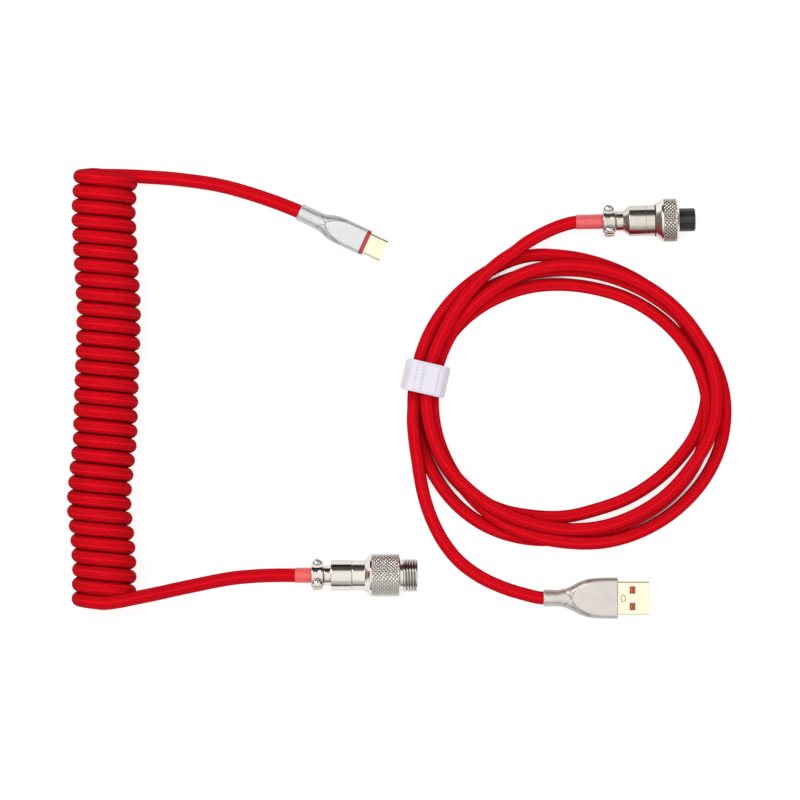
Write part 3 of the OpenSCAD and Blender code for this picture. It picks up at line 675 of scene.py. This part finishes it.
def leaf(apex, reach, half_width, back_reach, back_width, top):
    """Two scored creases that cross at the apex: a flat leaf in front of it, and the boot's flanks falling away
    beyond them. Its lift paints shade into the scored lines and onto the flanks.
    """
    def dent(x, y, z):
        ahead = np.clip((x - apex) / reach, 0, 1.6)
        behind = np.clip((apex - x) / back_reach, 0, 1.6)
        edge = np.where(x > apex, half_width * ahead ** 0.55, back_width * behind ** 0.9)
        off = np.abs(y) - edge
        near = np.clip((x - apex + back_reach + 0.6) / 0.8, 0, 1)
        near = near * np.clip((apex + reach * 1.25 - x) / 1.5, 0, 1)
        face = np.clip((np.abs(z) - top) / 0.5, 0, 1)
        fall = 0.1 * np.clip(off, 0, 2.5) * np.clip((x - apex + 1) / 2, 0, 1)
        fall = fall * np.clip((apex + reach * 1.5 - x) / 3, 0, 1)
        # Painted shade: score darkens the scored lines and shade darkens the flanks, both through the lift.
        score = np.exp(-(off / 0.2) ** 2) * near
        shade = 0.3 * np.clip(off / 0.8, 0, 1) * np.clip((x - apex + 1.5) / 2, 0, 1)
        return -np.sign(z) * (fall + 0.16 * score) * face, 1 - np.maximum(0.9 * score * face, shade)
    return dent


# ---------------------------------------------------------------- the reversible connector on the coiled cord

USB_C_AT, USB_C_TURN = (-36.7, 66, 3.1), -25
USB_C_BOOT = [(0, 6.1, 5.9, 2.9), (0.4, 6.4, 6.0, 2.95), (1.2, 6.4, 6.0, 2.95), (1.5, 6.25, 5.8, 2.85),
              (5, 6.2, 5.7, 2.8), (8, 6.3, 5.7, 2.8), (9.4, 6.6, 5.7, 2.7), (10.7, 7.3, 5.7, 2.6),
              (12.5, 8.6, 5.8, 2.4), (14.5, 9.4, 5.9, 2.1), (17, 9.65, 6.1, 1.9), (20, 9.7, 6.2, 1.8),
              (25.85, 9.6, 6.2, 1.6)]
boot = lofted("usb_c_boot_shell", USB_C_BOOT, USB_C_AT, USB_C_TURN, GRIP, steps=220,
              dent=leaf(10.7, 6.5, 4.3, 3.4, 3.0, 1.3), round_end=0.4, smoothing=30, straight=44)
stands_for(boot, "root", "grip", "usb_c_boot")
USB_C_COLLAR = [(25.86, 9.5, 5.0, 2.0), (26.1, 9.75, 5.15, 2.05), (26.35, 9.75, 5.15, 2.05),
                (26.5, 9.5, 4.95, 1.95), (26.75, 9.5, 4.95, 1.95), (26.95, 9.6, 5.0, 2.0),
                (27.2, 9.4, 4.85, 1.9)]
collar = lofted("usb_c_collar_band", USB_C_COLLAR, USB_C_AT, USB_C_TURN, COLLAR, steps=40, round_end=0.1,
                smoothing=1)
stands_for(collar, "root", "collar", "usb_c_collar")

# ---------------------------------------------------------------- the flat connector on the looped cord

USB_A_AT, USB_A_TURN = (52.1, -74.6, 4), 0
USB_A_BOOT = [(0, 5.9, 5.8, 2.85), (0.4, 6.2, 6.0, 2.95), (1.2, 6.2, 6.0, 2.95), (1.5, 6.05, 5.9, 2.85),
              (5.5, 5.9, 5.8, 2.85), (8, 6.9, 5.9, 2.8), (10.4, 8.8, 6.3, 2.6), (13, 11.6, 7, 2.4),
              (16, 13.7, 7.7, 2.2), (19, 14.5, 8, 1.9), (22, 14.75, 8, 1.7), (27.05, 14.8, 8, 1.6)]
boot_a = lofted("usb_a_boot_shell", USB_A_BOOT, USB_A_AT, USB_A_TURN, WARM_GRIP, steps=230,
                dent=leaf(10.4, 6.2, 6.2, 3.6, 3.2, 1.7), round_end=0.4, smoothing=30, straight=60)
stands_for(boot_a, "straight_cable", "grip", "usb_a_boot")


def oval_mark():
    """A small pressed oval on the shell."""
    t, ring = np.meshgrid(np.arange(64) * TAU / 64, np.arange(12) * TAU / 12, indexing="ij")
    x = 29.0 + (0.8 + 0.16 * np.cos(ring)) * np.cos(t) * (1 - 0.12 * np.sin(t))
    y = (1.2 + 0.16 * np.cos(ring)) * np.sin(t)
    z = 2.22 + 0.09 * np.sin(ring)
    j = np.arange(12)
    k = (j + 1) % 12
    quads = np.concatenate([grid(64, 12), np.stack([63 * 12 + j, 63 * 12 + k, k, j], -1)])
    return mesh_object("usb_a_pressed_mark", placed(np.stack([x, y, z], -1), USB_A_AT), quads, BROWN_GOLD)


stands_for(oval_mark(), "straight_cable", "gold")
for side in (-1, 1):
    for n, x in enumerate((31.75, 32.75)):
        leaf_spring = [(x, 1.9, 0.16, 0.07), (x + 0.2, 2.0, 0.2, 0.09), (x + 0.42, 1.9, 0.16, 0.07)]
        spring = lofted(f"usb_a_latch_{'left' if side > 0 else 'right'}_{n + 1}", leaf_spring, USB_A_AT,
                        USB_A_TURN, BROWN_GOLD, steps=12, round_end=0.05, straight=4, smoothing=1,
                        offset=(3.0 * side, 1.99))
        stands_for(spring, "straight_cable", "gold")


# ---------------------------------------------------------------- the cord clamps behind the round connectors

def screw(name, y, z, size, at, turn, tilt):
    """A domed, slotted head standing along the clamp's own upright."""
    rings = [(0.02, 0.0), (0.45, 0.0), (0.75, 0.0), (0.92, 0.0), (1.0, -0.06), (1.0, -0.3), (0.97, -0.62),
             (0.6, -0.64), (0.02, -0.64)]
    p = np.array(fine_profile(rings, 0.06))
    t = np.arange(72) * TAU / 72
    r, a = np.meshgrid(p[:, 0], t, indexing="ij")
    h = np.repeat(p[:, 1:], 72, 1)
    x, w = r * np.cos(a), r * np.sin(a)
    top = h > -0.3
    h = h + np.where(top, 0.34 * (1 - r ** 2), 0)
    h = h - 0.34 * np.clip((0.17 - np.abs(x * 0.8 + w * 0.6)) / 0.05, 0, 1) * top * (r < 0.97)
    v = np.stack([2.7 + x * size, y + w * size, z + h * size * 0.95], -1)
    return mesh_object(name, placed(v, at, turn, tilt), grid(len(p), 72), STEEL)


def clamp(kind, at, turn, tilt, body, slot, mat):
    """A split saddle with rounded ears, held by a screw on each side."""
    def ribbed(x, a, r):
        outside = r > 3.5
        ribs = -0.28 * outside * np.cos((x - 2.7) * TAU / 3.4) * 0.5
        return ribs - 0.5 * outside * (np.abs(np.cos(a)) < 0.09)

    ring = turned(kind + "_clamp_ring", [(0.4, 2.86), (0.4, 4.1), (5.0, 4.1), (5.0, 2.86)], at, turn, mat,
                  seg=96, step=0.2, soften=0.45, tilt=tilt, shape=ribbed)
    stands_for(ring, body, slot, kind + "_clamp_saddle")
    ear = [(0.8, 1.7, 1.3, 0.6), (1.3, 2.4, 1.45, 0.7), (2.7, 2.7, 1.5, 0.72), (4.1, 2.4, 1.45, 0.7),
           (4.6, 1.7, 1.3, 0.6)]
    for side in (-1, 1):
        for level in (-1, 1):
            name = f"{kind}_clamp_ear_{'a' if side > 0 else 'b'}{'1' if level > 0 else '2'}"
            made = lofted(name, ear, at, turn, mat, steps=40, round_end=0.5, smoothing=6, straight=6,
                          offset=(4.45 * side, 1.0 * level), tilt=tilt)
            stands_for(made, body, slot)
    heads = [screw(f"{kind}_screw_{n}", 4.45 * side, 2.6, 1.35, at, turn, tilt)
             for n, side in (("a", 1), ("b", -1))]
    stands_for(heads[0], body, slot, kind + "_clamp_screws")
    stands_for(heads[1], body, slot)


# ---------------------------------------------------------------- the round socket on the coiled cord

SOCKET_AT = (-32.7, -66.2, 7.6)
shrink = turned("socket_shrink_sleeve", [(-5.4, 2.56), (-5.4, 2.78), (6.2, 2.8), (6.2, 2.56)], SOCKET_AT, 0,
                CORAL, seg=108, step=0.12,
                shape=lambda x, a, r: 0.035 * np.sin(18 * a) * np.cos(x * TAU / 0.74) * (r > 2.65))
stands_for(shrink, "socket_end", "heat_shrink", "socket_heat_shrink")
SOCKET_REAR = [(5.2, 3.05), (5.2, 3.6), (7.6, 3.6), (7.6, 5.6), (15.12, 5.6), (15.2, 5.5), (15.2, 4.5),
               (9.6, 4.5), (9.6, 3.05)]
rear = turned("socket_rear_shell", SOCKET_REAR, SOCKET_AT, 0, CHROME, soften=0.25)
stands_for(rear, "socket_end", "polished_nickel", "socket_backshell")


def thread_and_knurl(x, angle, r):
    knurl = diamonds(22.3, 32.4, 35, 1.35, 0.24)(x, angle, r)
    groove = 0.5 + 0.5 * np.cos(TAU * (x - angle / TAU))
    threaded = np.clip((x - 34.2) / 0.3, 0, 1) * np.clip((38.9 - x) / 0.2, 0, 1) * (r > 5.7) * (r < 6.3)
    return knurl - 0.42 * groove ** 1.6 * threaded


SOCKET_FRONT = [(15.28, 4.5), (15.28, 5.35), (15.4, 5.45), (20, 5.45), (21.8, 7.55), (22.3, 7.6),
                (32.4, 7.6), (32.8, 7.3), (32.8, 5.5), (33.9, 5.5), (34.1, 6.0), (38.9, 6.0), (39.1, 5.75),
                (39.1, 4.45), (24.6, 4.45), (24.6, 4.5)]
front = turned("socket_front_shell", SOCKET_FRONT, SOCKET_AT, 0, KNURLED_CHROME, seg=384, step=0.12,
               shape=thread_and_knurl)
stands_for(front, "socket_end", "polished_nickel", "socket_body")
clamp("socket", SOCKET_AT, 0, -38, "socket_end", "polished_nickel", CHROME)


# ---------------------------------------------------------------- the round plug on the looped cord

PLUG_AT, PLUG_TURN = (73.24, 62.24, 7.7), 1.2
sleeve = turned("plug_shrink_sleeve", [(-9.3, 2.42), (-9.3, 2.66), (6.2, 2.7), (6.2, 2.42)], PLUG_AT,
                PLUG_TURN, PINK, seg=108, step=0.12,
                shape=lambda x, a, r: 0.04 * np.sin(18 * a) * np.cos(x * TAU / 0.74) * (r > 2.55))
stands_for(sleeve, "straight_cable", "heat_shrink", "plug_heat_shrink")
PLUG_REAR = [(5.2, 3.05), (5.2, 3.6), (7.6, 3.6), (9.9, 5.45), (10.3, 5.5), (16.0, 5.5), (16.1, 5.4),
             (16.1, 4.5), (11, 4.5), (9.9, 3.05)]
plug_rear = turned("plug_rear_shell", PLUG_REAR, PLUG_AT, PLUG_TURN, SATIN, soften=0.2)
stands_for(plug_rear, "straight_cable", "satin_nickel", "plug_backshell")
NUT = [(19.6, 5.58), (19.6, 5.9), (21.6, 7.6), (21.9, 7.7), (27.1, 7.7), (27.9, 7.0), (27.9, 6.05),
       (21, 6.05), (21, 5.58)]
nut = turned("plug_coupling_nut", NUT, PLUG_AT, PLUG_TURN, KNURLED_SATIN, seg=384, step=0.15,
             shape=diamonds(22.3, 27.0, 34, 1.35, 0.27))
stands_for(nut, "coupling_nut", "satin_nickel", "coupling_nut")
seal = turned("plug_dark_seal", [(19.15, 5.45), (19.15, 5.85), (19.55, 5.85), (19.55, 5.45)], PLUG_AT,
              PLUG_TURN, BLACK, seg=96, step=0.1, soften=0.1)
stands_for(seal, "straight_cable", "black_plastic")
clamp("plug", PLUG_AT, PLUG_TURN, -30, "straight_cable", "satin_nickel", SATIN)


# ---------------------------------------------------------------- the tie

STRAP_AT, STRAP_TURN = (9.2, 5.4, 0), -13


def strap_local(v):
    return placed(np.asarray(v, float).reshape(-1, 3), STRAP_AT, STRAP_TURN)


def tie_loop():
    """A band round the bundle, pinched a little in its width and wavy along it."""
    along = 61
    outer = rounded_ring(16.6, 16.6, 4, straight=30, corner=18)
    inner = rounded_ring(14.6, 14.6, 3, straight=30, corner=18)
    n = len(outer)
    edge = np.linspace(-1, 1, along)
    skins = []
    for ring, out in ((outer, 1), (inner, 0)):
        t = np.arange(n) / n
        beyond = np.clip(np.abs(ring[:, 0]) - 6.9, 0, 1.4) / 1.4
        y = edge[:, None] * (5.7 - 0.9 * beyond ** 3)[None, :]
        wave = 1 - 0.012 * out * (1 - np.abs(edge[:, None]) ** 6) * np.cos(TAU * 5 * t + 1)[None, :]
        rim = 1 + 0.012 * out * np.exp(-((np.abs(edge[:, None]) - 0.94) / 0.05) ** 2)
        x = ring[None, :, 0] * wave * rim
        z = ring[None, :, 1] * wave * rim + 8.3
        skins.append(np.stack([np.clip(x, -8.3, 8.3), y, np.clip(z, 0.02, 16.6)], -1))
    verts = np.concatenate([s.reshape(-1, 3) for s in skins])
    m = along * n
    quads = [grid(along, n), grid(along, n, start=m)]
    j = np.arange(n)
    k = (j + 1) % n
    for row in (0, along - 1):
        quads.append(np.stack([row * n + j, row * n + k, m + row * n + k, m + row * n + j], -1))
    return mesh_object("tie_band", strap_local(verts), np.concatenate(quads), TIE)


def tie_end():
    """The free end lying on the band, with a welded ladder down one side."""
    nx, ny = 90, 110
    x, y = np.meshgrid(np.linspace(-3.8, 4.8, nx), np.linspace(-5.4, 5.4, ny))
    ladder = np.exp(-((x + 1.2) / 0.6) ** 4) * (0.5 + 0.5 * np.cos(TAU * y / 1.3)) * (np.abs(y) < 4.9)
    rim = np.minimum(np.minimum(x + 3.8, 4.8 - x), 5.4 - np.abs(y))
    lift = -0.34 * (1 - np.clip(rim / 1.1, 0, 1)) ** 2
    top = 17.05 + lift + 0.3 * ladder + 0.02 * np.sin(x * 1.7 + y * 0.4)
    low = np.full_like(top, 16.66)
    verts = np.concatenate([np.stack([x, y, skin], -1).reshape(-1, 3) for skin in (top, low)])
    m = nx * ny
    quads = [grid(ny, nx, closed=False), grid(ny, nx, closed=False, start=m)]
    row, column = np.arange(nx), np.arange(ny) * nx
    for line in (row, (ny - 1) * nx + row, column, column + nx - 1):
        quads.append(np.stack([line[:-1], line[1:], m + line[1:], m + line[:-1]], -1))
    return mesh_object("tie_end", strap_local(verts), np.concatenate(quads), TIE)


stands_for(tie_loop(), "straight_cable", "tie_fabric", "strap_loop")
stands_for(tie_end(), "strap_tail", "tie_fabric", "strap_tail")


# ---------------------------------------------------------------- the part's own solids that stay

finish_node(SHELL, "usb_c_shell", "usb_a_shell")
finish_node(GOLD, "usb_c_contacts", "usb_a_contacts", "socket_pins", "plug_contacts")
finish_node(BLACK, "usb_c_insert", "plug_insert")
finish_node(INSULATOR, "socket_insulator")
finish_node(TONGUE, "usb_a_tongue")
finish_node(MOULD, "usb_c_inner_mould", "usb_a_inner_mould")
finish_node(BOARD, "usb_c_board")
finish_node(WIRE, "usb_c_wires", "usb_a_wires", "socket_wires", "plug_wires")
finish_node(SATIN, "plug_front_shell", "nut_slip_ring")


# ---------------------------------------------------------------- floor

bpy.ops.mesh.primitive_plane_add(size=6, location=(0, 0, -0.00005))
floor = bpy.context.object
floor.name = "floor"
floor.data.materials.append(FLOOR)
